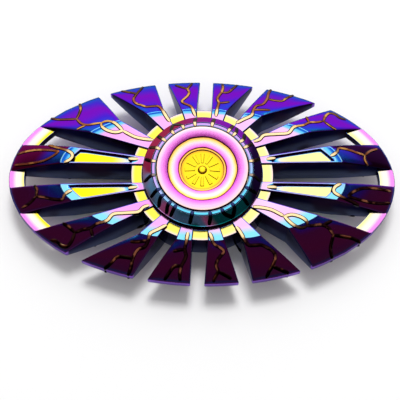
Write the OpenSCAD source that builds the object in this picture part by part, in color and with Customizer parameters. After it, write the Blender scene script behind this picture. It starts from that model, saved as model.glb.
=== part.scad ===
// Fidget spinner: a long oval winged casting that turns on a ball bearing
// between two screwed-together finger buttons.
// Millimetres. The spin axis is Z, the long axis of the wings is X, and the
// origin is the middle of the bearing. The two faces are alike, and the plan
// looks the same after half a turn.

/* [Winged frame] */
// Length of the oval, from tip to tip
frame_l = 80; // [72:1:100]
// Width of the oval
frame_w = 45.6; // [38:0.2:60]
// Thickness at the rim
rim_t = 2; // [1.4:0.1:3]
// Thickness across the plateau around the hub
plateau_t = 8; // [6.6:0.1:9.6]
// Length of the oval bend where the plateau turns into the slope
bend_l = 59; // [49:0.5:70]
// Width of that oval bend
bend_w = 29.4; // [24.5:0.1:36]
// Radial width of the bars that close six of the slots
bar_w = 3.2; // [2:0.1:4]

/* [Hub] */
// Width of the web between the collar and the inner end of a slot
web_w = 2.4; // [1:0.1:3]
// Thickness of that web
web_t = 7.2; // [6:0.1:8.6]
// Thickness over the two collar rims
collar_t = 12.9; // [11.6:0.1:16]
// Width of the flat on top of a collar rim
collar_land = 0.9; // [0.5:0.1:1.5]
// How far the collar's shoulder spreads outwards
collar_spread = 1.8; // [1.2:0.1:3]
// How far the shoulder falls from the rim to the collar's wall
collar_drop = 1.2; // [0.6:0.1:2]
// Length of the bore that holds the bearing
bore_l = 5.2; // [4.8:0.1:6]

/* [Pockets] */
// Depth of the pocket in each of the four side petals
pocket_deep = 0.8; // [0.3:0.1:1.2]
// Thickness of the wall around a pocket
pocket_wall = 0.5; // [0.3:0.1:0.8]

/* [Bearing] */
// Outer diameter of the bearing
bearing_od = 12.7; // [11.5:0.05:16]
// Bore of the bearing
bearing_id = 6.35; // [5:0.05:7]
// Width of the bearing
bearing_w = 4.762; // [3.9:0.001:5]
// Diameter of one ball
ball_d = 1.588; // [1.3:0.001:1.95]
// Gap between the lands of the two rings
land_gap = 0.9; // [0.7:0.05:1.1]

/* [Buttons] */
// Diameter of a finger button
button_d = 18.6; // [15:0.1:22.5]
// How far a button stands proud of the collar's rim
button_proud = 0.25; // [0:0.05:0.5]
// Depth of the dish in a button
dish_deep = 1.2; // [0.8:0.1:1.6]
// Diameter of the medallion in the middle of the dish
medallion_d = 8.8; // [7:0.1:9.4]
// Diameter of the threaded stud that joins the buttons
stud_d = 4; // [3:0.1:4.8]

/* [Hidden] */
BALLS = 10;

// Fits and clearances
race_clear = 0.02;    // ball to raceway
pocket_clear = 0.05;  // ball to cage pocket
cage_clear = 0.12;    // cage to either land
shield_clear = 0.12;  // shield to the inner land
button_gap = 0.2;     // button to collar, all round
under_gap = 0.4;      // button to the recess floor
pilot_clear = 0.01;   // pilot to the bearing's bore
stud_clear = 0.02;    // stud to the threaded hole
overlap = 1;          // how far joined shapes run into each other
cut = 0.1;            // how far a cutter passes a face

// Bearing
bearing_r = bearing_od / 2;
inner_r = bearing_id / 2;
half_w = bearing_w / 2;
pitch_r = (bearing_r + inner_r) / 2;
inner_land_r = pitch_r - land_gap / 2;
outer_land_r = pitch_r + land_gap / 2;
ball_r = ball_d / 2;
ring_chamfer = 0.2;
shield_t = 0.2;
snap_t = 0.22;
snap_w = 0.6;
snap_lip = 0.18;      // metal outside the snap ring
snap_bite = 0.2;      // how deep the snap ring sits in its groove
snap_open = 36;       // opening of the split ring, degrees
seat_r = outer_land_r + (bearing_r - outer_land_r) / 2;
snap_z = half_w - snap_lip - snap_t;
shield_z = snap_z - shield_t;
cage_web = 0.4;
cage_horn = 0.45;     // height of the horns between the balls

// Hub
recess_r = button_d / 2 + button_gap;
recess_z = bore_l / 2;
rim_z = collar_t / 2;
collar_r = recess_r + collar_land;
collar_base_r = collar_r + collar_spread;
web_r = collar_base_r + web_w;
collar_draft = 0.1;   // the wall's foot stands out by this much
root_r = collar_base_r - overlap;
lead_in = 0.2;

// Buttons
button_r = button_d / 2;
crest_z = rim_z + button_proud;
under_z = recess_z + under_gap;
edge_chamfer = 0.1;
crest_w = 0.7;
dish_step = 0.15;
outer_step_r = 0.76 * button_r;
inner_step_r = medallion_d / 2 + 0.4;
outer_step_z = crest_z - 0.2 * dish_deep;
inner_step_z = crest_z - 0.6 * dish_deep;
medallion_z = crest_z - dish_deep;
pilot_l = half_w - 0.4;
stud_r = stud_d / 2;
stud_end = 1.4;       // stud's end above the bearing's face
ray_n = 12;
ray_w = 0.4;
ray_h = 0.15;

// Petals of one half, anticlockwise from +X. Each row gives where the petal's
// two sides start at the collar, cross the bend and meet the rim, in degrees:
// [collar, collar, bend, bend, rim, rim]. The half turn gives the other half.
PETALS = [
    [11.5, 19.5, 11, 27, 6.5, 22],
    [29.5, 38.5, 41, 53, 32, 47],
    [49, 59.5, 65, 73, 53, 70],
    [70, 82.5, 80, 86.5, 74.5, 87],
    [95.5, 107.5, 92.5, 99, 91, 101],
    [119, 130, 106, 114, 105, 120],
    [142.5, 154, 126, 143, 124, 150],
    [162.5, 171.5, 157.5, 173.5, 161.5, 177.5],
];
POCKET_PETALS = [PETALS[0], PETALS[7]];
// Slots of one half that a rim bar closes, as rim angles
BARS = [[22, 32], [150, 161.5], [177.5, 186.5]];
petal_steps = 6;      // straight pieces along a petal's bend and rim
bar_grip = 4;         // how far a bar runs into a petal, degrees
pocket_from = 0.2;    // pocket ends, along a petal from root to bend
pocket_to = 0.88;
$fn = 64;

function polar(r, a) = [r * cos(a), r * sin(a)];
function on_oval(l, w, a) = [l / 2 * cos(a), w / 2 * sin(a)];
function mix(p, q, t) = p + (q - p) * t;
function lift(points, z) = [for (q = points) [q[0], q[1], z]];
// Side s (0 or 1) of a petal, from t = 0 at its root to t = 1 at the bend
function side(p, s, t) = mix(polar(root_r, p[s]), on_oval(bend_l, bend_w, p[2 + s]), t);
// Points along an oval from one side of a petal to the other
function arc(l, w, from, to) =
    [for (i = [0 : petal_steps]) on_oval(l, w, mix(from, to, i / petal_steps))];

module both_halves() {
    for (turn = [0, 180]) rotate(turn) children();
}

module both_faces() {
    children();
    mirror([0, 0, 1]) children();
}

module slab(t) {
    translate([0, 0, -t / 2]) linear_extrude(t) children();
}

// A closed profile is drawn above z = 0 only; this turns it and its mirror image
module turned_both_ways(upper) {
    lower = [for (i = [len(upper) - 1 : -1 : 0]) [upper[i][0], -upper[i][1]]];
    rotate_extrude() polygon(concat(upper, lower));
}

// One petal: flat from its root to the bend, then sloping to the rim
module petal(p) {
    bend = arc(bend_l, bend_w, p[2], p[3]);
    rim = arc(frame_l, frame_w, p[4], p[5]);
    flat = [side(p, 0, 0), each bend, side(p, 1, 0)];
    n = len(flat);
    m = len(rim);
    low = n + m;          // where the lower face's points start
    rims = n;             // where the rim's points start
    polyhedron(
        points = concat(
            lift(flat, plateau_t / 2), lift(rim, rim_t / 2),
            lift(flat, -plateau_t / 2), lift(rim, -rim_t / 2)),
        faces = concat(
            [[for (i = [n - 1 : -1 : 0]) i], [for (i = [0 : n - 1]) low + i]],
            [for (i = [0 : m - 2]) each [
                [i + 1, i + 2, rims + i + 1],
                [i + 1, rims + i + 1, rims + i],
                [low + i + 2, low + i + 1, low + rims + i + 1],
                [low + i + 1, low + rims + i, low + rims + i + 1],
                [rims + i, rims + i + 1, low + rims + i + 1, low + rims + i],
            ]],
            [
                [0, 1, low + 1, low],
                [1, rims, low + rims, low + 1],
                [n - 2, low + n - 2, low + rims + m - 1, rims + m - 1],
                [n - 1, low + n - 1, low + n - 2, n - 2],
                [0, low, low + n - 1, n - 1],
            ]));
}

// One rim bar, from the rim corner of one petal to that of the next. Its ends
// run on into both petals.
module bar(ends) {
    lo = ends[0] - bar_grip;
    hi = ends[1] + bar_grip;
    inner = arc(frame_l - 2 * bar_w, frame_w - 2 * bar_w, hi, lo);
    middle = arc(frame_l - bar_w, frame_w - bar_w, hi, lo);
    polygon(concat(
        arc(frame_l, frame_w, ends[0], ends[1]), [middle[0]], inner, [middle[petal_steps]]));
}

module pocket(p) {
    translate([0, 0, plateau_t / 2 - pocket_deep])
        linear_extrude(pocket_deep + cut)
            offset(delta = -pocket_wall)
                polygon([
                    side(p, 0, pocket_from), side(p, 0, pocket_to),
                    side(p, 1, pocket_to), side(p, 1, pocket_from),
                ]);
}

module hub() {
    turned_both_ways([
        [bearing_r, recess_z - lead_in],
        [bearing_r + lead_in, recess_z],
        [recess_r, recess_z],
        [recess_r, rim_z - lead_in],
        [recess_r + lead_in, rim_z],
        [collar_r, rim_z],
        [collar_base_r, rim_z - collar_drop],
        [collar_base_r + collar_draft, web_t / 2],
        [web_r, web_t / 2],
    ]);
}

module frame() {
    color("mediumpurple")
    difference() {
        union() {
            both_halves() for (p = PETALS) petal(p);
            slab(rim_t) both_halves() for (b = BARS) bar(b);
            hub();
        }
        both_faces() both_halves() for (p = POCKET_PETALS) pocket(p);
    }
}

module raceway() {
    rotate_extrude() translate([pitch_r, 0]) circle(ball_r + race_clear);
}

module bearing_outer_ring() {
    color("lightsteelblue")
    difference() {
        turned_both_ways([
            [outer_land_r, shield_z],
            [seat_r, shield_z],
            [seat_r, snap_z],
            [seat_r + snap_bite, snap_z],
            [seat_r + snap_bite, snap_z + snap_t],
            [seat_r, snap_z + snap_t],
            [seat_r, half_w],
            [bearing_r - ring_chamfer, half_w],
            [bearing_r, half_w - ring_chamfer],
        ]);
        raceway();
    }
}

module bearing_inner_ring() {
    color("lightsteelblue")
    difference() {
        turned_both_ways([
            [inner_r, half_w - ring_chamfer],
            [inner_r + ring_chamfer, half_w],
            [inner_land_r, half_w],
        ]);
        raceway();
    }
}

module at_ball(k) {
    rotate((k - 1) * 360 / BALLS) translate([pitch_r, 0, 0]) children();
}

module ball(k) {
    color("silver") at_ball(k) sphere(ball_r);
}

// Crown cage: a ring below the balls with horns between them
module bearing_cage() {
    pocket_r = ball_r + pocket_clear;
    bottom = -pocket_r - cage_web;
    color("ivory")
    difference() {
        rotate_extrude()
            translate([inner_land_r + cage_clear, bottom])
                square([land_gap - 2 * cage_clear, cage_horn - bottom]);
        for (k = [1 : BALLS]) at_ball(k) sphere(pocket_r);
    }
}

module shield() {
    hole_r = inner_land_r + shield_clear;
    color("gainsboro")
    rotate_extrude() translate([hole_r, shield_z]) square([seat_r - hole_r, shield_t]);
}

module snap_ring() {
    color("dimgray")
    rotate(snap_open / 2)
        rotate_extrude(angle = 360 - snap_open)
            translate([seat_r + snap_bite - snap_w, snap_z]) square([snap_w, snap_t]);
}

// A button's turned blank: dish above, boss and pilot below
module button_blank() {
    rotate_extrude() polygon([
        [0, half_w - pilot_l],
        [inner_r - pilot_clear, half_w - pilot_l],
        [inner_r - pilot_clear, half_w],
        [inner_land_r - cage_clear, half_w],
        [inner_land_r - cage_clear, under_z],
        [button_r - edge_chamfer, under_z],
        [button_r, under_z + edge_chamfer],
        [button_r, crest_z - edge_chamfer],
        [button_r - edge_chamfer, crest_z],
        [button_r - edge_chamfer - crest_w, crest_z],
        [outer_step_r, outer_step_z],
        [outer_step_r, outer_step_z - dish_step],
        [inner_step_r, inner_step_z],
        [inner_step_r, inner_step_z - dish_step],
        [medallion_d / 2, inner_step_z - dish_step],
        [medallion_d / 2, medallion_z],
        [0, medallion_z],
    ]);
}

// A plain sunburst, raised on the medallion
module sunburst() {
    from_r = 0.3 * medallion_d / 2;
    to_r = 0.8 * medallion_d / 2;
    for (i = [0 : ray_n - 1])
        rotate(i * 360 / ray_n)
            translate([from_r, -ray_w / 2, medallion_z - cut])
                cube([to_r - from_r, ray_w, ray_h + cut]);
}

module top_button() {
    hole_end = half_w + stud_end + stud_clear;
    color("violet")
    difference() {
        union() {
            button_blank();
            sunburst();
        }
        cylinder(r = stud_r + stud_clear, h = hole_end);
    }
}

module bottom_button() {
    color("violet")
    mirror([0, 0, 1]) {
        button_blank();
        sunburst();
        translate([0, 0, -half_w - stud_end])
            cylinder(r = stud_r, h = bearing_w - pilot_l + stud_end + overlap);
    }
}

frame();
bearing_outer_ring();
bearing_inner_ring();
bearing_cage();
for (k = [1 : BALLS])
    ball(k);
shield();  // shield_top
mirror([0, 0, 1]) shield();  // shield_bottom
snap_ring();  // snap_ring_top
mirror([0, 0, 1]) snap_ring();  // snap_ring_bottom
top_button();
bottom_button();
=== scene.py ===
"""The looks of the fidget spinner: a rainbow-coated winged casting on a finger bearing."""
import math

import bmesh
import bpy
from mathutils import Matrix, Vector


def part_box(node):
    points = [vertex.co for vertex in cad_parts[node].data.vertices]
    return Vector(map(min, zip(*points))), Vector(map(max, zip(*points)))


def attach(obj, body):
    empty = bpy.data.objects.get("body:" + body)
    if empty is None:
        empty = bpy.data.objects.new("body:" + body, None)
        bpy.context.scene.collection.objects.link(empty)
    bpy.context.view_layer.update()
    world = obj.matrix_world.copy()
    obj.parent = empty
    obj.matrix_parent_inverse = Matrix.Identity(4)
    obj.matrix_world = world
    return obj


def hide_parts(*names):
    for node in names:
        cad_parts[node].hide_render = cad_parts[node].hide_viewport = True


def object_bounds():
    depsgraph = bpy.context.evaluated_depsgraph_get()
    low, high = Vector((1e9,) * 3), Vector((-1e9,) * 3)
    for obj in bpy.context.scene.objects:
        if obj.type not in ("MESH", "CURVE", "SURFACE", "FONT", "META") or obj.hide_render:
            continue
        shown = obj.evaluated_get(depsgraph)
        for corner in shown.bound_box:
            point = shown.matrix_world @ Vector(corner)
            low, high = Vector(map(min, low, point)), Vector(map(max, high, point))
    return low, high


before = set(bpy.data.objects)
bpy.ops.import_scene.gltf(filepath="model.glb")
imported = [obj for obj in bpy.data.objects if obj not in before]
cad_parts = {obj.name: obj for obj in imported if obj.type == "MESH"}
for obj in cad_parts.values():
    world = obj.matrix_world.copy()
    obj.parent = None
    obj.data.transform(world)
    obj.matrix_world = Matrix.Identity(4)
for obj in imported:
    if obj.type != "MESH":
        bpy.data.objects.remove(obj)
cad_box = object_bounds()

MM = 0.001

# ---------------------------------------------------------------- sizes, in millimetres

frame_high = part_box("frame")[1] / MM
button_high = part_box("top_button")[1] / MM

OVAL = (frame_high.x, frame_high.y)      # half length and half width of the rim
BEND = (29.5, 14.7)                      # the same of the bend in the petals
PLATEAU_Z = 4.0
RIM_Z = 1.0
WEB_Z = 3.6
COLLAR_Z = frame_high.z
BUTTON_R = button_high.x
CREST_Z = button_high.z
BORE_R = 6.35
RECESS_Z = 2.6
RECESS_R = BUTTON_R + 0.2
COLLAR_R = RECESS_R + 0.9
WALL_R = COLLAR_R + 1.8
SHOULDER_Z = COLLAR_Z - 1.2
WEB_R = WALL_R + 2.4
ROOT_R = WALL_R - 1
BAR_W = 3.2
POCKET_DEEP = 0.8
TURN_STEPS = 144                         # faces round a turned shape

# Petals of one half, anticlockwise from +X: the angles in degrees at which the
# two sides start at the collar, cross the bend and meet the rim.
PETALS = [
    (11.5, 19.5, 11, 27, 6.5, 22),
    (29.5, 38.5, 41, 53, 32, 47),
    (49, 59.5, 65, 73, 53, 70),
    (70, 82.5, 80, 86.5, 74.5, 87),
    (95.5, 107.5, 92.5, 99, 91, 101),
    (119, 130, 106, 114, 105, 120),
    (142.5, 154, 126, 143, 124, 150),
    (162.5, 171.5, 157.5, 173.5, 161.5, 177.5),
]
POCKET_PETALS = (0, 7)
BARS = [(22, 32), (150, 161.5), (177.5, 186.5)]
BAR_GRIP = 4


def polar(radius, degrees):
    return Vector((math.cos(math.radians(degrees)), math.sin(math.radians(degrees)))) * radius


def on_oval(half, degrees):
    a = math.radians(degrees)
    return Vector((half[0] * math.cos(a), half[1] * math.sin(a)))


def mix(p, q, t):
    return p + (q - p) * t


def ease(t):
    t = min(max(t, 0.0), 1.0)
    return t * t * (3 - 2 * t)


# ---------------------------------------------------------------- the casting's surface


SLOPE_START = 0.62    # steepness just past the bend, as a share of the mean slope


def slope_share(x, y):
    """How far out a point lies between the bend (0) and the rim (1)."""
    low, high = 0.0, 1.3
    for _ in range(24):
        s = (low + high) / 2
        a, b = mix(BEND[0], OVAL[0], s), mix(BEND[1], OVAL[1], s)
        if (x / a) ** 2 + (y / b) ** 2 > 1:
            low = s
        else:
            high = s
    return s


def past_bend(x, y):
    """Under 1 on the plateau, over 1 beyond the bend."""
    return (x / BEND[0]) ** 2 + (y / BEND[1]) ** 2


def surface_z(x, y):
    """Height of the casting's upper face: flat to the bend, then a crowned slope."""
    if past_bend(x, y) <= 1:
        return PLATEAU_Z
    s = slope_share(x, y)
    fall = SLOPE_START * s + (1 - SLOPE_START) * s * s
    return mix(PLATEAU_Z, RIM_Z, fall)


# ---------------------------------------------------------------- mesh helpers


SHARP = math.radians(35)    # edges that turn further than this stay crisp


def new_piece(name, bm, body, nodes, material):
    """Makes a finished mesh piece from bm, which is in millimetres."""
    bmesh.ops.scale(bm, vec=(MM, MM, MM), verts=bm.verts)
    for face in bm.faces:
        face.smooth = True
    for edge in bm.edges:
        if len(edge.link_faces) == 2 and edge.calc_face_angle(0) > SHARP:
            edge.smooth = False
    mesh = bpy.data.meshes.new(name)
    bm.to_mesh(mesh)
    bm.free()
    piece = bpy.data.objects.new(name, mesh)
    bpy.context.scene.collection.objects.link(piece)
    shading = piece.modifiers.new("level_faces_stay_level", "WEIGHTED_NORMAL")
    shading.keep_sharp = True
    mesh.materials.append(material)
    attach(piece, body)
    if nodes:
        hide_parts(*nodes)
    return piece


def add_sheet(bm, columns, rows, place):
    """Adds a grid of faces whose corner (i, j) is moved to place(i, j)."""
    made = bmesh.ops.create_grid(bm, x_segments=columns, y_segments=rows, size=1)
    cells = {}
    for v in made["verts"]:
        cells[v] = (round((v.co.x + 1) / 2 * columns), round((v.co.y + 1) / 2 * rows))
        v.co = place(*cells[v])
    return cells, list({f for v in cells for f in v.link_faces})


def add_copies(target, source, matrices):
    """Adds source to target once for each matrix, and empties source."""
    mesh = bpy.data.meshes.new("source")
    source.to_mesh(mesh)
    source.free()
    for matrix in matrices:
        copy = mesh.copy()
        copy.transform(matrix)
        target.from_mesh(copy)
        bpy.data.meshes.remove(copy)
    bpy.data.meshes.remove(mesh)


def right_side_out(bm):
    bmesh.ops.recalc_face_normals(bm, faces=bm.faces)


HALF_TURNS = [Matrix.Identity(4), Matrix.Rotation(math.pi, 4, "Z")]
BOTH_FACES = [Matrix.Identity(4), Matrix.Scale(-1, 4, (0, 0, 1))]


# ---------------------------------------------------------------- petals


EDGE_STEPS = (0, 0.28, 0.7, 1.3, 2.4)        # columns, by distance from a side
EDGE_SHARES = (0, 0.12, 0.24, 0.34, 0.43)    # and the most of the width that each may be
POCKET_EDGE_STEPS = (0, 0.27, 0.52, 0.9, 1.5)
COLUMNS = 2 * len(EDGE_STEPS)
FLAT_ROWS = (0, 0.1, 0.2, 0.35, 0.5, 0.65, 0.78, 0.88, 0.95, 0.985, 1)
SLOPE_ROWS = (0.02, 0.06, 0.12, 0.2, 0.3, 0.42, 0.55, 0.68, 0.8, 0.9, 0.96, 1)
ROWS = len(FLAT_ROWS) + len(SLOPE_ROWS) - 1
POCKET_ROWS = (2, 7)
PLATEAU_CROWN = (0.8, 0.02)                  # width and height
SLOPE_CROWN = (1.5, 0.15)
RIM_CROWN = (1.0, 0.12)
PETAL_ROUND = 0.18
POCKET_LEAN = 0.02                           # of the pocket's outer end, for each millimetre across


def crown(distance, shape):
    """How much a face falls away near its edge."""
    return shape[1] * max(0.0, 1 - distance / shape[0]) ** 2


def petal_point(angles, across, along):
    """Plan position: across 0 to 1 between the sides, along 0 root, 1 bend, 2 rim."""
    bend = on_oval(BEND, mix(angles[2], angles[3], across))
    if along <= 1:
        root = mix(polar(ROOT_R, angles[0]), polar(ROOT_R, angles[1]), across)
        return mix(root, bend, along)
    rim = on_oval(OVAL, mix(angles[4], angles[5], across))
    return mix(bend, rim, along - 1)


def petal_sheet(bm, angles, pocket):
    steps = POCKET_EDGE_STEPS if pocket else EDGE_STEPS

    def place(i, j):
        if j < len(FLAT_ROWS):
            along = FLAT_ROWS[j]
        else:
            along = 1 + SLOPE_ROWS[j - len(FLAT_ROWS)]
        width = (petal_point(angles, 1, along) - petal_point(angles, 0, along)).length
        k = min(i, COLUMNS - i)
        side = 0.5 if k == len(steps) else min(steps[k] / width, EDGE_SHARES[k])
        across = side if i <= COLUMNS / 2 else 1 - side
        p = petal_point(angles, across, along)
        if pocket and j == POCKET_ROWS[1]:
            # the pocket's outer end leans outwards on the side nearer the long axis
            lean = abs(petal_point(angles, 0.5, along).y) - abs(p.y)
            p = petal_point(angles, across, along + POCKET_LEAN * lean)
        to_rim = (petal_point(angles, across, 2) - p).length
        edge = crown(side * width, PLATEAU_CROWN)
        edge = mix(edge, crown(side * width, SLOPE_CROWN), ease((along - 0.97) / 0.1))
        return Vector((p.x, p.y, surface_z(p.x, p.y) - max(edge, crown(to_rim, RIM_CROWN))))

    return add_sheet(bm, COLUMNS, ROWS, place)


def make_petal(angles, pocket):
    """One closed petal, alike above and below."""
    bm = bmesh.new()
    verts, faces = petal_sheet(bm, angles, pocket)
    if pocket:
        floor = [f for f in faces if in_pocket(f, verts)]
        made = bmesh.ops.extrude_face_region(bm, geom=floor)
        low = [v for v in made["geom"] if isinstance(v, bmesh.types.BMVert)]
        for v in low:
            v.co.z = PLATEAU_Z - POCKET_DEEP
        bmesh.ops.delete(bm, geom=floor, context="FACES")
    top = list(bm.faces)
    made = bmesh.ops.extrude_face_region(bm, geom=top, use_keep_orig=True)
    for v in made["geom"]:
        if isinstance(v, bmesh.types.BMVert):
            v.co.z = -v.co.z
    right_side_out(bm)
    corners = [e for e in bm.edges if len(e.link_faces) == 2
               and e.calc_face_angle(0) > math.radians(50)]
    bmesh.ops.bevel(bm, geom=corners, offset=PETAL_ROUND, segments=2, profile=0.5,
                    affect="EDGES", clamp_overlap=True, material=-1)
    return bm


def in_pocket(face, cells):
    """Is this face of a petal's sheet inside the pocket's rows and columns?"""
    cell = [cells[v] for v in face.verts]
    columns, rows = [i for i, j in cell], [j for i, j in cell]
    return (min(columns) >= 2 and max(columns) <= COLUMNS - 2
            and min(rows) >= POCKET_ROWS[0] and max(rows) <= POCKET_ROWS[1])


# ---------------------------------------------------------------- hub, collar and bars


BAR_ROUND = 0.12


def add_turned(bm, outline, closed):
    """Turns an (r, z) outline once round Z; one that isn't closed starts and ends on the axis."""
    verts = [bm.verts.new((r, 0, z)) for r, z in outline]
    edges = [bm.edges.new((verts[k - 1], verts[k])) for k in range(0 if closed else 1, len(verts))]
    bmesh.ops.spin(bm, geom=verts + edges, axis=(0, 0, 1), cent=(0, 0, 0), dvec=(0, 0, 0),
                   angle=2 * math.pi, steps=TURN_STEPS, use_merge=True, use_duplicate=False)


def rounded(profile, radii, steps=4):
    """An (r, z) outline with its corners rounded, by one radius for each corner."""
    out = []
    for k, (point, r) in enumerate(zip(profile, radii)):
        here = Vector(point)
        before = Vector(profile[k - 1]) - here
        after = Vector(profile[(k + 1) % len(profile)]) - here
        if r <= 0:
            out.append(tuple(here))
            continue
        half = before.angle(after) / 2
        reach = min(r / math.tan(half), 0.45 * before.length, 0.45 * after.length)
        start, end = here + before.normalized() * reach, here + after.normalized() * reach
        for n in range(steps + 1):
            t = n / steps
            out.append(tuple(mix(mix(start, here, t), mix(here, end, t), t)))
    return out


def add_hub(bm):
    """Bearing seat, recess, collar and web, alike above and below."""
    upper = [
        (BORE_R, RECESS_Z), (RECESS_R, RECESS_Z), (RECESS_R, COLLAR_Z), (COLLAR_R, COLLAR_Z),
        (WALL_R, SHOULDER_Z), (WALL_R + 0.1, WEB_Z), (WEB_R, WEB_Z),
    ]
    round_by = [0.15, 0.1, 0.08, 0.15, 0.3, 0.2, 0.15]
    lower = [(r, -z) for r, z in reversed(upper)]
    add_turned(bm, rounded(upper + lower, round_by + round_by[::-1]), closed=True)


def add_bar(bm, ends):
    """One rim bar, whose ends run on into the petals at both sides."""
    steps = 8
    low, high = ends[0] - BAR_GRIP, ends[1] + BAR_GRIP
    inner = (OVAL[0] - BAR_W, OVAL[1] - BAR_W)
    middle = (OVAL[0] - BAR_W / 2, OVAL[1] - BAR_W / 2)
    outline = [on_oval(OVAL, mix(ends[0], ends[1], k / steps)) for k in range(steps + 1)]
    outline += [on_oval(middle, high)]
    outline += [on_oval(inner, mix(high, low, k / steps)) for k in range(steps + 1)]
    outline += [on_oval(middle, low)]
    face = bm.faces.new([bm.verts.new((p.x, p.y, -RIM_Z)) for p in outline])
    made = bmesh.ops.extrude_face_region(bm, geom=[face])
    top = [v for v in made["geom"] if isinstance(v, bmesh.types.BMVert)]
    bmesh.ops.translate(bm, verts=top, vec=(0, 0, 2 * RIM_Z))


def make_bars():
    bm = bmesh.new()
    for ends in BARS:
        add_bar(bm, ends)
    right_side_out(bm)
    long_edges = [e for e in bm.edges if e.calc_face_angle(0) > math.radians(60)
                  and abs(e.verts[0].co.z - e.verts[1].co.z) < RIM_Z]
    bmesh.ops.bevel(bm, geom=long_edges, offset=BAR_ROUND, segments=2, profile=0.5,
                    affect="EDGES", clamp_overlap=True, material=-1)
    return bm


def make_casting(material):
    whole = bmesh.new()
    for k, angles in enumerate(PETALS):
        add_copies(whole, make_petal(angles, k in POCKET_PETALS), HALF_TURNS)
    add_copies(whole, make_bars(), HALF_TURNS)
    hub = bmesh.new()
    add_hub(hub)
    right_side_out(hub)
    add_copies(whole, hub, [Matrix.Identity(4)])
    return new_piece("winged_casting", whole, "rotor", ["frame"], material)


# ---------------------------------------------------------------- raised veins


# Routes of the veins on one half of the upper face, petal by petal
VEINS = [
    # right side petal with the pocket
    [(13.2, 3.3), (14.2, 3.5), (15.0, 3.6)],
    [(26.4, 4.3), (27.2, 4.7), (27.9, 5.4), (28.3, 6.2), (30.4, 6.0), (32.2, 5.5), (33.8, 5.2)],
    [(33.8, 5.2), (35, 6.4), (36.7, 7.3)],
    [(33.8, 5.2), (33.7, 4.0), (34.3, 2.8)],
    # upper right
    [(10.6, 7.3), (11.8, 7.8), (12.8, 8.8), (15.5, 9.1), (17.8, 9.4), (19, 10.8), (21, 11.4),
     (22.3, 12.2), (24, 12.5), (25.4, 13)],
    [(22.3, 12.2), (22.0, 13.0), (21.8, 13.8)],
    [(25.4, 13), (26.8, 11.8), (28, 11)],
    [(25.4, 13), (26, 14.5), (27, 15.5), (28.2, 15.3), (29, 14.5), (30.4, 14.1)],
    # top right
    [(7, 11.5), (8.5, 12.4), (10.2, 13.4), (10.6, 14.8), (11.3, 16), (12.7, 16.6), (13.6, 18.2),
     (14, 20), (14.6, 21.3)],
    [(10.6, 14.8), (12.5, 15.0), (14.2, 15.0)],
    [(13.6, 18.2), (15.2, 17.9), (16.8, 17.9), (18, 19), (19.4, 20)],
    # top, right of the middle
    [(2.7, 13), (3, 15), (3.3, 16.5), (3, 17.6), (3.4, 18.7), (3.9, 19.6), (4.2, 21), (4.1, 22.4)],
    [(3.3, 16.5), (4.4, 16.6), (5.6, 16.9)],
    [(3.9, 19.6), (5.3, 19.7), (6.4, 21), (7.3, 22.2)],
    # top, left of the middle
    [(-1.6, 13), (-2.1, 14.3), (-2.6, 15.4), (-4, 16.2), (-4.5, 16.8), (-3.9, 17.6), (-3.3, 18.4),
     (-3, 19.5), (-3.4, 20.5), (-2.7, 21.8), (-2.5, 22.5)],
    [(-3.4, 20.5), (-5, 21.2), (-6.1, 21.8)],
    # top left
    [(-6.9, 11.6), (-7.6, 12.6), (-9.2, 15.2), (-10.6, 15.4), (-12, 15.3), (-13.2, 15.8),
     (-14.3, 16.4), (-14.8, 17.6), (-14.2, 19.2), (-13.5, 20.4), (-13, 21.4)],
    [(-14.2, 19.2), (-15.7, 19.7), (-17.6, 20.3)],
    # upper left
    [(-10.3, 7.3), (-12.3, 7.5), (-14, 7.9), (-15.4, 8.6), (-16.6, 9.3)],
    [(-16.6, 9.3), (-17.6, 10.4), (-18.6, 11.2), (-20, 11.6), (-21.2, 11.2)],
    [(-16.6, 9.3), (-18.2, 8.9), (-20, 9.4), (-21.1, 10.3), (-21.2, 11.2)],
    [(-21.2, 11.2), (-22.6, 11), (-24, 10.8), (-25.4, 11.2), (-26.6, 12.6)],
    [(-24.4, 10.8), (-25.6, 10.2), (-26.3, 9.8)],
    [(-26.6, 12.6), (-26.2, 14), (-26, 15.5), (-26.4, 17.1)],
    [(-26.6, 12.6), (-28.5, 12.7), (-30.5, 12.9), (-32.3, 13.5)],
    # left side petal with the pocket
    [(-13.2, 2.9), (-14.2, 2.9), (-15.2, 2.95)],
    [(-28.4, 1.9), (-27.4, 2.4), (-26.8, 3.1), (-26.9, 3.9), (-28.2, 4.7), (-30.6, 5.6), (-32, 6.2)],
    [(-29.6, 4.5), (-31, 3.4), (-33, 2.5), (-36, 2.2), (-39, 2.3)],
    [(-29.6, 4.5), (-32, 5), (-34.5, 5.3), (-37, 5.2), (-38.8, 4.8)],
]
VEIN_SECTION = ((-0.52, -0.18), (-0.49, -0.03), (-0.26, 0.18), (0.26, 0.18), (0.49, -0.03), (0.52, -0.18))
VEIN_SPACING = 0.35
VEIN_ROOT = 0.35                         # how far a vein reaches down into the casting
VEIN_TAPER = (0.55, 0.85, 1.0)           # size at the end of a vein, and one and two steps in
SLOPE_VEIN = 0.8                         # size of a vein on the slopes
SHOULDER_SUNK = 0.05
# Veins on the collar's shoulder: the angle at its foot, and at its rim
SHOULDER_VEINS = [(13.5, 10), (31, 29), (44, 38), (54, 50), (58.5, 58), (78.5, 79), (97, 99.5),
                  (121, 114), (121, 128), (141, 142), (156, 155), (169, 172)]


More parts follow.
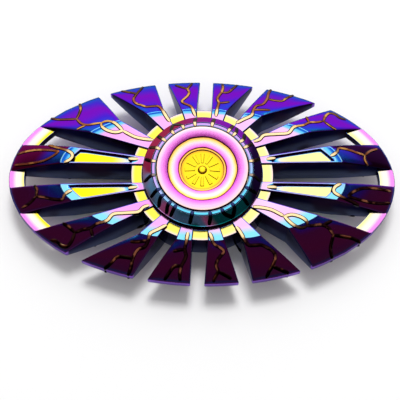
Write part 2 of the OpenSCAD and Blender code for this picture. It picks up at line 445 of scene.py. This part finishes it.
def smooth_route(points):
    """Points along a Catmull-Rom curve through the given ones, about evenly spaced."""
    knots = [Vector(p) for p in points]
    knots = [2 * knots[0] - knots[1]] + knots + [2 * knots[-1] - knots[-2]]
    out = []
    for a, b, c, d in zip(knots, knots[1:], knots[2:], knots[3:]):
        n = max(2, round((c - b).length / VEIN_SPACING))
        for k in range(n):
            t = k / n
            out.append(0.5 * (2 * b + (c - a) * t + (2 * a - 5 * b + 4 * c - d) * t * t
                              + (3 * b - a - 3 * c + d) * t ** 3))
    out.append(knots[-2])
    return out


def add_ridge(bm, route, height_at):
    """A closed raised ridge that follows a plan route over a surface."""
    def place(i, j):
        here = route[j]
        ahead = route[min(j + 1, len(route) - 1)] - route[max(j - 1, 0)]
        across = Vector((-ahead.y, ahead.x)).normalized()
        offset, lift = VEIN_SECTION[i]
        end = min(j, len(route) - 1 - j)
        full = VEIN_TAPER[min(end, 2)] * (SLOPE_VEIN if past_bend(here.x, here.y) > 1 else 1)
        p = here + across * offset * full
        return Vector((p.x, p.y, height_at(p.x, p.y) + lift * full))

    verts, faces = add_sheet(bm, len(VEIN_SECTION) - 1, len(route) - 1, place)
    made = bmesh.ops.extrude_face_region(bm, geom=faces, use_keep_orig=True)
    low = [v for v in made["geom"] if isinstance(v, bmesh.types.BMVert)]
    bmesh.ops.translate(bm, verts=low, vec=(0, 0, -VEIN_ROOT))


def collar_height(x, y):
    r = math.hypot(x, y)
    fall = max(0.0, r - COLLAR_R) * (COLLAR_Z - SHOULDER_Z) / (WALL_R - COLLAR_R)
    return COLLAR_Z - SHOULDER_SUNK - fall


def make_veins(material):
    half = bmesh.new()
    for points in VEINS:
        add_ridge(half, smooth_route(points), surface_z)
    radii = (WALL_R - 0.1, 11.6, 11, COLLAR_R, 9.95, RECESS_R + 0.05)
    for foot, rim in SHOULDER_VEINS:
        points = [polar(r, mix(rim, foot, ease((r - COLLAR_R) / (WALL_R - COLLAR_R)))) for r in radii]
        add_ridge(half, smooth_route(points), collar_height)
    right_side_out(half)
    whole = bmesh.new()
    add_copies(whole, half, [turn @ face for turn in HALF_TURNS for face in BOTH_FACES])
    right_side_out(whole)
    return new_piece("raised_veins", whole, "rotor", (), material)


# ---------------------------------------------------------------- buttons


MEDALLION_R = 4.4
DISH_DEEP = 1.2
DISH_STEP = 0.15                         # the small steps in the dish
OUTER_STEP_R = 0.76 * BUTTON_R
INNER_STEP_R = MEDALLION_R + 0.4
CREST_W = 0.8
UNDER_Z = RECESS_Z + 0.4
BOSS_R, BEARING_FACE_Z = 4.19, 2.381     # what clamps the bearing's inner ring
PILOT_R, PILOT_END_Z = 3.165, 0.4        # what sits in its bore
THREADED_BORE = [(2.02, PILOT_END_Z), (2.02, 4.0), (0, 4.0)]
STUD = [(2.0, PILOT_END_Z), (2.0, -3.78), (0, -3.78)]


def button_profile(core):
    """The (r, z) outline of a button, from the middle of its dish round to its core."""
    inner_z, outer_z = CREST_Z - 0.6 * DISH_DEEP, CREST_Z - 0.2 * DISH_DEEP
    return [
        (0, CREST_Z - DISH_DEEP), (MEDALLION_R, CREST_Z - DISH_DEEP),
        (MEDALLION_R, inner_z - DISH_STEP), (INNER_STEP_R, inner_z - DISH_STEP),
        (INNER_STEP_R, inner_z), (OUTER_STEP_R - 0.02, outer_z - DISH_STEP),
        (OUTER_STEP_R, outer_z), (BUTTON_R - CREST_W, CREST_Z),
        (BUTTON_R, CREST_Z), (BUTTON_R, UNDER_Z), (BOSS_R, UNDER_Z), (BOSS_R, BEARING_FACE_Z),
        (PILOT_R, BEARING_FACE_Z), (PILOT_R, PILOT_END_Z),
    ] + core


def make_button(name, face, core, material):
    bm = bmesh.new()
    profile = button_profile(core)
    round_by = [0, 0.06, 0.05, 0.05, 0.06, 0.05, 0.07, 0.4, 0.1, 0.1, 0, 0, 0.1, 0.1, 0.05, 0.1, 0]
    add_turned(bm, rounded(profile, round_by, 3), closed=False)
    bmesh.ops.remove_doubles(bm, verts=bm.verts, dist=1e-4)
    add_sunburst(bm)
    right_side_out(bm)
    bmesh.ops.transform(bm, matrix=face, verts=bm.verts)
    if face.determinant() < 0:
        bmesh.ops.reverse_faces(bm, faces=bm.faces)
    return new_piece(name, bm, "hub", [name.replace("_dish", "")], material)


RAYS = 12
RAY_SIZE = (2.0, 0.36, 0.5)
RAY_MIDDLE = 2.55
RAY_SUNK = 0.08
DOME_R = 0.95
DOME_FLATTENED = 0.28


def add_sunburst(bm):
    """Plain raised rays round a low dome, on the medallion."""
    floor = CREST_Z - DISH_DEEP
    for k in range(RAYS):
        ray = bmesh.new()
        bmesh.ops.create_cube(ray, size=1)
        bmesh.ops.scale(ray, vec=RAY_SIZE, verts=ray.verts)
        outer = [v for v in ray.verts if v.co.x > 0]
        bmesh.ops.scale(ray, vec=(1, 1.7, 1), verts=outer)
        foot = [v for v in ray.verts if v.co.z < 0]
        bmesh.ops.scale(ray, vec=(1.15, 1.9, 1), verts=foot)
        bmesh.ops.translate(ray, verts=ray.verts, vec=(RAY_MIDDLE, 0, floor - RAY_SUNK))
        add_copies(bm, ray, [Matrix.Rotation(2 * math.pi * k / RAYS, 4, "Z")])
    dome = bmesh.new()
    bmesh.ops.create_uvsphere(dome, u_segments=32, v_segments=16, radius=DOME_R)
    bmesh.ops.scale(dome, vec=(1, 1, DOME_FLATTENED), verts=dome.verts)
    bmesh.ops.translate(dome, verts=dome.verts, vec=(0, 0, floor))
    add_copies(bm, dome, [Matrix.Identity(4)])


# ---------------------------------------------------------------- shader maths


class Value:
    """A socket that adds Math nodes as Python sums are written on it."""

    def __init__(self, shader, socket):
        self.shader, self.socket = shader, socket

    def _math(self, operation, *others):
        links = {n: v for n, v in enumerate((self, *others))}
        return self.shader.node("ShaderNodeMath", links, operation=operation)[0]

    def __add__(self, other): return self._math("ADD", other)
    def __sub__(self, other): return self._math("SUBTRACT", other)
    def __mul__(self, other): return self._math("MULTIPLY", other)
    def __truediv__(self, other): return self._math("DIVIDE", other)
    def __pow__(self, other): return self._math("POWER", other)
    def __radd__(self, other): return self._math("ADD", other)
    def __rmul__(self, other): return self._math("MULTIPLY", other)
    def __rsub__(self, other):
        return self.shader.node("ShaderNodeMath", {0: other, 1: self}, operation="SUBTRACT")[0]
    def __abs__(self): return self._math("ABSOLUTE")
    def root(self): return self._math("SQRT")
    def arc_cosine(self): return self._math("ARCCOSINE")
    def sine(self): return self._math("SINE")
    def clamped(self): return self._math("MINIMUM", 1.0)._math("MAXIMUM", 0.0)

    def step(self, low, high):
        """0 below low, 1 above high, eased between."""
        return self.shader.node("ShaderNodeMapRange", {0: self, 1: low, 2: high},
                                interpolation_type="SMOOTHSTEP")[0]


class Shader:
    """One material's node tree."""

    def __init__(self, name):
        self.material = bpy.data.materials.new(name)
        self.material.use_nodes = True
        self.tree = self.material.node_tree
        self.tree.nodes.clear()

    def feed(self, socket, value):
        """Links a Value to a socket, or sets a constant on it."""
        if isinstance(value, Value):
            self.tree.links.new(value.socket, socket)
        else:
            socket.default_value = value

    def node(self, kind, inputs=None, stops=None, **settings):
        """Adds any node, sets it, feeds its sockets, and gives its outputs as Values."""
        made = self.tree.nodes.new(kind)
        for key, value in settings.items():
            setattr(made, key, value)
        if stops:
            ramp = made.color_ramp
            while len(ramp.elements) < len(stops):
                ramp.elements.new(0.5)
            for element, (position, colour) in zip(ramp.elements, stops):
                element.position = position
                element.color = (*colour, 1)
        for key, value in (inputs or {}).items():
            self.feed(made.inputs[key], value)
        return [Value(self, s) for s in made.outputs if s.enabled]

    def blend(self, share, first, second, kind="MIX"):
        """A colour mixed from two, by a share."""
        made = self.tree.nodes.new("ShaderNodeMix")
        made.data_type, made.blend_type = "RGBA", kind
        for index, value in ((0, share), (6, first), (7, second)):
            self.feed(made.inputs[index], (*value, 1) if isinstance(value, tuple) else value)
        return Value(self, made.outputs[2])

    def place(self):
        """Object coordinates in millimetres, as three Values."""
        coordinates = self.node("ShaderNodeTexCoord")[3]
        x, y, z = self.node("ShaderNodeSeparateXYZ", {0: coordinates})
        return coordinates, x / MM, y / MM, z / MM

    def noise(self, coordinates, per_mm, detail=3.0):
        """Noise from 0 to 1 with about per_mm features to the millimetre."""
        return self.node("ShaderNodeTexNoise", {"Vector": coordinates, "Scale": per_mm / MM,
                                                "Detail": detail})[0]

    def finish(self, **values):
        """Ends the tree in a Principled BSDF; its sockets are named in lower case."""
        bsdf = self.tree.nodes.new("ShaderNodeBsdfPrincipled")
        sockets = {socket.name.lower().replace(" ", "_"): socket for socket in bsdf.inputs}
        for name, value in values.items():
            self.feed(sockets[name], value)
        self.node("ShaderNodeOutputMaterial", {0: Value(self, bsdf.outputs[0])})
        return self.material

    def bump(self, height, strength, distance_mm):
        return self.node("ShaderNodeBump", {"Height": height, "Strength": strength,
                                            "Distance": distance_mm * MM})[0]


def srgb(text):
    """A linear colour from a hex code."""
    parts = [int(text[k:k + 2], 16) / 255 for k in (0, 2, 4)]
    return tuple(c / 12.92 if c <= 0.04045 else ((c + 0.055) / 1.055) ** 2.4 for c in parts)


# Colour of the coating against how far a face tilts from level, in degrees; the dark colours from about 60
# degrees, on walls and roundings, are partly the coating and partly painted shade
TILT_COLOURS = [
    (0, "F4C6FA"), (4, "BFEFFF"), (8, "4CC8F4"), (10.5, "1E7AE4"), (13, "2A48DC"),
    (16, "4A26D8"), (19, "7418CC"), (22, "7E14C4"), (25, "4A2AD2"), (29, "2454CC"),
    (34, "1C5A9E"), (40, "3A2A6A"), (47, "5A1450"), (60, "24102E"), (74, "12121E"), (90, "12121E"),
]


def tilt_of(shader):
    """Angle between a face and level, in degrees, alike above and below."""
    normal = shader.node("ShaderNodeNewGeometry")[1]
    upward = abs(shader.node("ShaderNodeSeparateXYZ", {0: normal})[2])
    return upward.clamped().arc_cosine() * math.degrees(1)


def rainbow_casting():
    s = Shader("rainbow_casting")
    coordinates, x, y, z = s.place()
    height = abs(z)
    cloud = s.noise(coordinates, 0.11, 2.0)
    grain = s.noise(coordinates, 2.2, 4.0)
    tilt = tilt_of(s)
    slopes = s.node("ShaderNodeValToRGB", {0: (tilt + (cloud - 0.5) * 6.0 * tilt.step(5, 14)) / 90},
                    stops=[(a / 90, srgb(c)) for a, c in TILT_COLOURS])[0]
    radius = (x * x + y * y).root()
    right = x.step(-26, 26)
    out = ((x / OVAL[0]) ** 2.0 + (y / OVAL[1]) ** 2.0).root()
    bend = ((x / BEND[0]) ** 2.0 + (y / BEND[1]) ** 2.0).root()
    # plateaus: pink to pale lavender, made paler to the right as painted light; cyan towards the bend and
    # deep blue at it on the far half are painted reflections, different on the near and far halves
    near = y.step(2, -4)
    far = 1 - near
    plateau = s.blend((cloud * 1.2 - 0.25 + right * 0.45).clamped(), srgb("F08CEE"), srgb("FBD0FC"))
    plateau = s.blend(bend.step(0.82, 0.95) * near, plateau, srgb("84E2FC"))
    plateau = s.blend(bend.step(0.90, 0.95) * far, plateau, srgb("66CCF8"))
    plateau = s.blend(bend.step(0.955, 0.98) * far, plateau, srgb("1260C8"))
    # webs, pocket floors and rim bars: yellow, made paler to the right as painted light, pink at their
    # outer edge
    yellow = s.blend(right, srgb("FFF21C"), srgb("FBFAAA"))
    webs = s.blend(radius.step(13.7, 14.8), yellow, srgb("FFDCE8"))
    pockets = s.blend(radius.step(15.5, 19), srgb("FFF0D0"), yellow)
    bars = s.blend(out.step(0.915, 0.945), yellow, srgb("FFFBEA"))
    bars = s.blend(out.step(0.955, 0.985), bars, srgb("EE94F0"))
    low_faces = s.blend(radius.step(14.75, 14.8), webs, pockets)
    low_faces = s.blend(height.step(2.0, 1.6), low_faces, bars)
    level = s.blend(height.step(3.7, 3.85), low_faces, plateau)
    # slopes: painted shade, maroon on the near half, dark magenta and near black at the ends
    sloping = bend.step(1.0, 1.01) * tilt.step(14, 17) * tilt.step(34, 28)
    slopes = s.blend(sloping * y.step(1, -3) * 0.75, slopes, srgb("6E3040"))
    # painted shade at the ends: dark magenta on the left, near black on the right
    ends = s.blend(right.step(0.4, 0.6), srgb("6C0C4A"), srgb("2C0C34"))
    slopes = s.blend(sloping * abs(x).step(25, 28) * y.step(9, 7) * y.step(-1, 1), slopes, ends)
    # the collar: a rim painted with reflections, lavender behind and cyan in front, between dark lines of
    # painted shade along its edges; a shoulder painted from magenta to teal by side
    front = (x * 0.35 - y).step(-3, 9)
    rim = s.blend(front, srgb("C9A8FA"), srgb("62D6F8"))
    # painted shade: dark lines along the rim's inner and outer edges
    rim = s.blend(abs(radius - (RECESS_R + COLLAR_R) / 2).step(0.18, 0.25), rim, srgb("180A28"))
    level = s.blend(height.step(5.6, 6.2), level, rim)
    colour = s.blend(tilt.step(2.0, 6.0), level, slopes)
    # painted reflections and shade on the shoulder: magenta on the left, violet on the right, teal in
    # front, near black further right, and cyan and pink patches on the near left
    shoulder = s.blend(x.step(-7, 7), srgb("A02C4C"), srgb("8420B4"))
    shoulder = s.blend(front, shoulder, srgb("0C8C8C"))
    shoulder = s.blend(x.step(7.5, 10.5), shoulder, srgb("1C0C34"))
    reflection_patches = cloud.step(0.40, 0.50) * (x * -1 - y).step(8, 11) * y.step(1, -2)
    reflection_patch = s.blend(cloud.step(0.52, 0.60), srgb("6AC8F8"), srgb("F0A0F0"))
    shoulder = s.blend(reflection_patches, shoulder, reflection_patch)
    on_shoulder = radius.step(12.6, 12.4) * height.step(4.6, 4.9) * tilt.step(12, 24)
    colour = s.blend(on_shoulder, colour, shoulder)
    # slot walls are nearly black above, partly the coating and partly painted shade, and slate at the
    # middle plane, a painted reflection of the floor; the rim's wall is purple
    walls = s.blend(z.step(-3.6, 1.4), srgb("66728E"), srgb("04040C"))
    walls = s.blend(cloud.step(0.50, 0.64) * 0.8, walls, srgb("24120A"))
    walls = s.blend(out.step(0.975, 0.99), walls, srgb("8E62C8"))
    colour = s.blend(tilt.step(66, 80), colour, walls)
    scratches = s.node("ShaderNodeTexNoise", {
        "Vector": s.node("ShaderNodeMapping", {0: coordinates, "Scale": (1, 0.06, 1),
                                               "Rotation": (0, 0, 0.6)})[0],
        "Scale": 3.0 / MM, "Detail": 2.0})[0]
    rough = 0.13 + grain * 0.07 + scratches.step(0.62, 0.75) * 0.10
    normal = s.bump(grain * 0.6 + scratches * 0.4, 0.10, 0.02)
    return s.finish(base_color=colour, metallic=1.0, roughness=rough, normal=normal,
                    specular_tint=(0.50, 0.50, 0.60, 1))


# Multiplier of a vein's colour against the tilt of its faces: the steep flanks are painted dark, painted
# shade that outlines each vein
VEIN_SIDES = [(0, "FFFFFF"), (22, "FFFFFF"), (30, "6A4A40"), (37, "140C10"), (90, "08060C")]


def rainbow_veins():
    """Cream-gold on the plateaus, copper on the slopes, with flanks painted dark as shade; the slope veins
    of the near half are painted dark as shade, and glints on the slopes are painted highlights.
    """
    s = Shader("rainbow_veins")
    coordinates, x, y, z = s.place()
    cloud = s.noise(coordinates, 0.35, 2.0)
    grain = s.noise(coordinates, 3.0, 3.0)
    radius = (x * x + y * y).root()
    bend = ((x / BEND[0]) ** 2.0 + (y / BEND[1]) ** 2.0).root()
    on_slope = (bend.step(0.93, 1.06) + (cloud - 0.5) * 0.6).clamped()
    near = y.step(1, -3)
    glints = cloud.step(0.50, 0.62)
    # painted shade and highlights: the slope veins of the near half are dark, and glints on the slopes of
    # both halves are painted highlights
    slope_top = s.blend(near, s.blend(glints, srgb("A25C3C"), srgb("E8B060")),
                        s.blend(glints, srgb("301024"), srgb("FFDC9A")))
    top = s.blend(on_slope, srgb("FFE9B0"), slope_top)
    # painted shade: the veins on the near side of the shoulder are dark blue
    top = s.blend(radius.step(12.6, 12.3) * near, top, srgb("2C3C6C"))
    # painted shade on the steep flanks
    sides = s.node("ShaderNodeValToRGB", {0: tilt_of(s) / 90},
                   stops=[(a / 90, srgb(c)) for a, c in VEIN_SIDES])[0]
    return s.finish(base_color=s.blend(1.0, top, sides, "MULTIPLY"), metallic=1.0,
                    roughness=0.16 + grain * 0.10, normal=s.bump(grain, 0.12, 0.02))


# Colour of a button's level faces against the radius, in millimetres; the darker gold at 4.4 mm and the
# dark rings near 4.8 and 7 mm, at the dish's steps, are painted shade
BUTTON_COLOURS = [
    (0, "FFEB2E"), (3.8, "FFE42A"), (4.2, "F6BE3A"), (4.4, "C87A1E"), (4.5, "FFD870"), (4.74, "FFC24A"),
    (4.8, "6A1438"), (4.92, "8A1C50"), (5.0, "F27CEE"), (5.4, "F8A4F6"), (6.0, "FFE6FA"),
    (6.5, "FFF2A8"), (6.9, "FFC24E"), (6.98, "4A1030"), (7.12, "4A1030"), (7.2, "EE6CEC"),
    (7.7, "F484F2"), (8.3, "FAA6F4"), (8.6, "FCC6EE"), (9.2, "FFE6DC"),
]
# Multiplier of a button's colour against the tilt of its faces: the steeper faces are painted darker,
# painted shade
BUTTON_TILTS = [(0, "FFFFFF"), (14, "FFFFFF"), (30, "A8408C"), (48, "4A1440"), (90, "241030")]


def rainbow_button():
    s = Shader("rainbow_button")
    coordinates, x, y, z = s.place()
    radius = (x * x + y * y).root()
    cloud = s.noise(coordinates, 0.25, 2.0)
    grain = s.noise(coordinates, 3.0, 3.0)
    rings = s.node("ShaderNodeValToRGB", {0: (radius + (cloud - 0.5) * 0.5) / 10},
                   stops=[(a / 10, srgb(c)) for a, c in BUTTON_COLOURS])[0]
    tilts = s.node("ShaderNodeValToRGB", {0: tilt_of(s) / 90},
                   stops=[(a / 90, srgb(c)) for a, c in BUTTON_TILTS])[0]
    colour = s.blend(1.0, rings, tilts, "MULTIPLY")
    lathe = (radius * 42.0).sine()
    rough = 0.17 + grain * 0.08
    return s.finish(base_color=colour, metallic=1.0, roughness=rough,
                    normal=s.bump(lathe * 0.5 + grain, 0.10, 0.01))


def turned_steel(name, dark, light, rough):
    """Steel with fine turning lines round Z."""
    s = Shader(name)
    coordinates, x, y, z = s.place()
    radius = (x * x + y * y).root()
    grain = s.noise(coordinates, 1.6, 4.0)
    lines = ((radius * 60.0 + grain * 3.0).sine() * 0.5 + 0.5)
    colour = s.blend(grain * 0.6 + lines * 0.3, srgb(dark), srgb(light))
    return s.finish(base_color=colour, metallic=1.0, roughness=rough + grain * 0.12,
                    normal=s.bump(lines, 0.15, 0.004))


def ball_steel():
    s = Shader("ball_steel")
    coordinates, x, y, z = s.place()
    smear = s.noise(coordinates, 1.2, 3.0)
    colour = s.blend(smear, srgb("CDD1D6"), srgb("E9ECEF"))
    return s.finish(base_color=colour, metallic=1.0, roughness=0.05 + smear * 0.08)


def cage_nylon():
    s = Shader("cage_nylon")
    coordinates, x, y, z = s.place()
    mottle = s.noise(coordinates, 1.5, 4.0)
    colour = s.blend(mottle, srgb("D8CDB0"), srgb("EFE7D2"))
    return s.finish(base_color=colour, metallic=0.0, roughness=0.42 + mottle * 0.15,
                    subsurface_weight=0.1, normal=s.bump(mottle, 0.2, 0.01))


# ---------------------------------------------------------------- floor, light and camera


def make_floor():
    bm = bmesh.new()
    bmesh.ops.create_circle(bm, cap_ends=True, segments=64, radius=1.4)
    bmesh.ops.translate(bm, verts=bm.verts, vec=(0, 0, cad_box[0].z))
    mesh = bpy.data.meshes.new("floor")
    bm.to_mesh(mesh)
    bm.free()
    floor = bpy.data.objects.new("floor", mesh)
    bpy.context.scene.collection.objects.link(floor)
    s = Shader("floor_paper")
    mesh.materials.append(s.finish(base_color=(0.86, 0.86, 0.86, 1), roughness=0.9,
                                   specular_ior_level=0.1))


MIRRORED_ROUND = (0.17, 0.07, 0.08)
# What is brighter than that: the axis of the direction, where it starts and is full, its colour
MIRRORED_ZONES = [(2, 0.58, 0.30, (0.62, 0.56, 0.60)), (1, 0.45, 0.80, (1.0, 0.95, 1.0))]
AMBIENT = 0.56
BACKDROP = 0.86


def softbox(name, azimuth, elevation, distance, size, glow, shape="RECTANGLE", mirrored=True):
    """An area light aimed at the object, of radiance glow. Azimuth 0 is behind, +90 right."""
    data = bpy.data.lights.new(name, "AREA")
    area = size[0] * size[1] * (math.pi / 4 if shape in ("DISK", "ELLIPSE") else 1)
    data.shape, data.size, data.size_y = shape, size[0], size[1]
    data.energy = glow * math.pi * area
    a, e = math.radians(azimuth), math.radians(elevation)
    out = Vector((math.sin(a) * math.cos(e), math.cos(a) * math.cos(e), math.sin(e)))
    lamp = bpy.data.objects.new(name, data)
    lamp.location = out * distance
    lamp.rotation_mode = "QUATERNION"
    lamp.rotation_quaternion = out.to_track_quat("Z", "Y")
    lamp.visible_glossy = mirrored
    bpy.context.scene.collection.objects.link(lamp)


def make_world():
    """Pale all round; what the metal mirrors is dim and warm, bright behind and low down."""
    world = bpy.data.worlds.new("studio")
    bpy.context.scene.world = world
    world.use_nodes = True
    tree = world.node_tree
    tree.nodes.clear()
    add, link = tree.nodes.new, tree.links.new
    direction = add("ShaderNodeTexCoord")
    split = add("ShaderNodeSeparateXYZ")
    link(direction.outputs["Generated"], split.inputs[0])
    tint = add("ShaderNodeRGB").outputs[0]
    tint.default_value = (*MIRRORED_ROUND, 1)
    for axis, start, end, colour in MIRRORED_ZONES:
        share, mixed = add("ShaderNodeMapRange"), add("ShaderNodeMix")
        share.interpolation_type, mixed.data_type = "SMOOTHSTEP", "RGBA"
        share.inputs[1].default_value, share.inputs[2].default_value = start, end
        link(split.outputs[axis], share.inputs[0])
        link(share.outputs[0], mixed.inputs[0])
        link(tint, mixed.inputs[6])
        mixed.inputs[7].default_value = (*colour, 1)
        tint = mixed.outputs[2]
    paths, pick, out = add("ShaderNodeLightPath"), add("ShaderNodeMixShader"), add("ShaderNodeOutputWorld")
    mirrored, pale = add("ShaderNodeBackground"), add("ShaderNodeBackground")
    link(tint, mirrored.inputs[0])
    strength = add("ShaderNodeMix")
    link(paths.outputs["Is Camera Ray"], strength.inputs[0])
    strength.inputs[2].default_value, strength.inputs[3].default_value = AMBIENT, BACKDROP
    pale.inputs["Color"].default_value = (1, 1, 1, 1)
    link(strength.outputs[0], pale.inputs["Strength"])
    link(paths.outputs["Is Glossy Ray"], pick.inputs[0])
    link(pale.outputs[0], pick.inputs[1])
    link(mirrored.outputs[0], pick.inputs[2])
    link(pick.outputs[0], out.inputs[0])


def make_camera():
    """The main view: from the front, steeply down."""
    azimuth, elevation, roll = -0.568, 67.476, 1.414
    distance, aim, lens = 207.85, Vector((-0.377, -4.748, RIM_Z)), 91.03
    data = bpy.data.cameras.new("camera")
    data.sensor_width, data.lens = 36, lens
    data.clip_start, data.clip_end = 0.01, 20
    camera = bpy.data.objects.new("camera", data)
    a, e = math.radians(azimuth), math.radians(elevation)
    back = Vector((math.sin(a) * math.cos(e), -math.cos(a) * math.cos(e), math.sin(e)))
    right = Vector((math.cos(a), math.sin(a), 0))
    up = back.cross(right)
    c, n = math.cos(math.radians(roll)), math.sin(math.radians(roll))
    right, up = right * c + up * n, up * c - right * n
    camera.matrix_world = Matrix.Translation((aim + back * distance) * MM) @ Matrix(
        (right, up, back)).transposed().to_4x4()
    bpy.context.scene.collection.objects.link(camera)
    bpy.context.scene.camera = camera


# ---------------------------------------------------------------- the object


make_camera()
make_floor()
make_world()
softbox("overhead_softbox", 0, 65, 0.60, (0.50, 0.50), 1.1, "ELLIPSE")
softbox("floor_key", 4, 73, 0.60, (0.16, 0.16), 25, mirrored=False)

make_casting(rainbow_casting())
make_veins(rainbow_veins())
button_finish = rainbow_button()
make_button("top_button_dish", BOTH_FACES[0], THREADED_BORE, button_finish)
make_button("bottom_button_dish", BOTH_FACES[1], STUD, button_finish)

steel = turned_steel("bearing_steel", "83868C", "B9BCC2", 0.24)
shield_steel = turned_steel("shield_steel", "9A9DA3", "C9CCD1", 0.30)
spring_steel = turned_steel("spring_steel", "3C3D42", "5E6067", 0.35)
FINISHES = {"bearing_outer_ring": steel, "bearing_inner_ring": steel, "bearing_cage": cage_nylon(),
            "shield_top": shield_steel, "shield_bottom": shield_steel,
            "snap_ring_top": spring_steel, "snap_ring_bottom": spring_steel}
polished = ball_steel()
for node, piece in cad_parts.items():
    if node.startswith("ball_"):
        FINISHES[node] = polished
    if node in FINISHES:
        piece.data.materials.clear()
        piece.data.materials.append(FINISHES[node])

bpy.context.scene.view_settings.view_transform = "Standard"
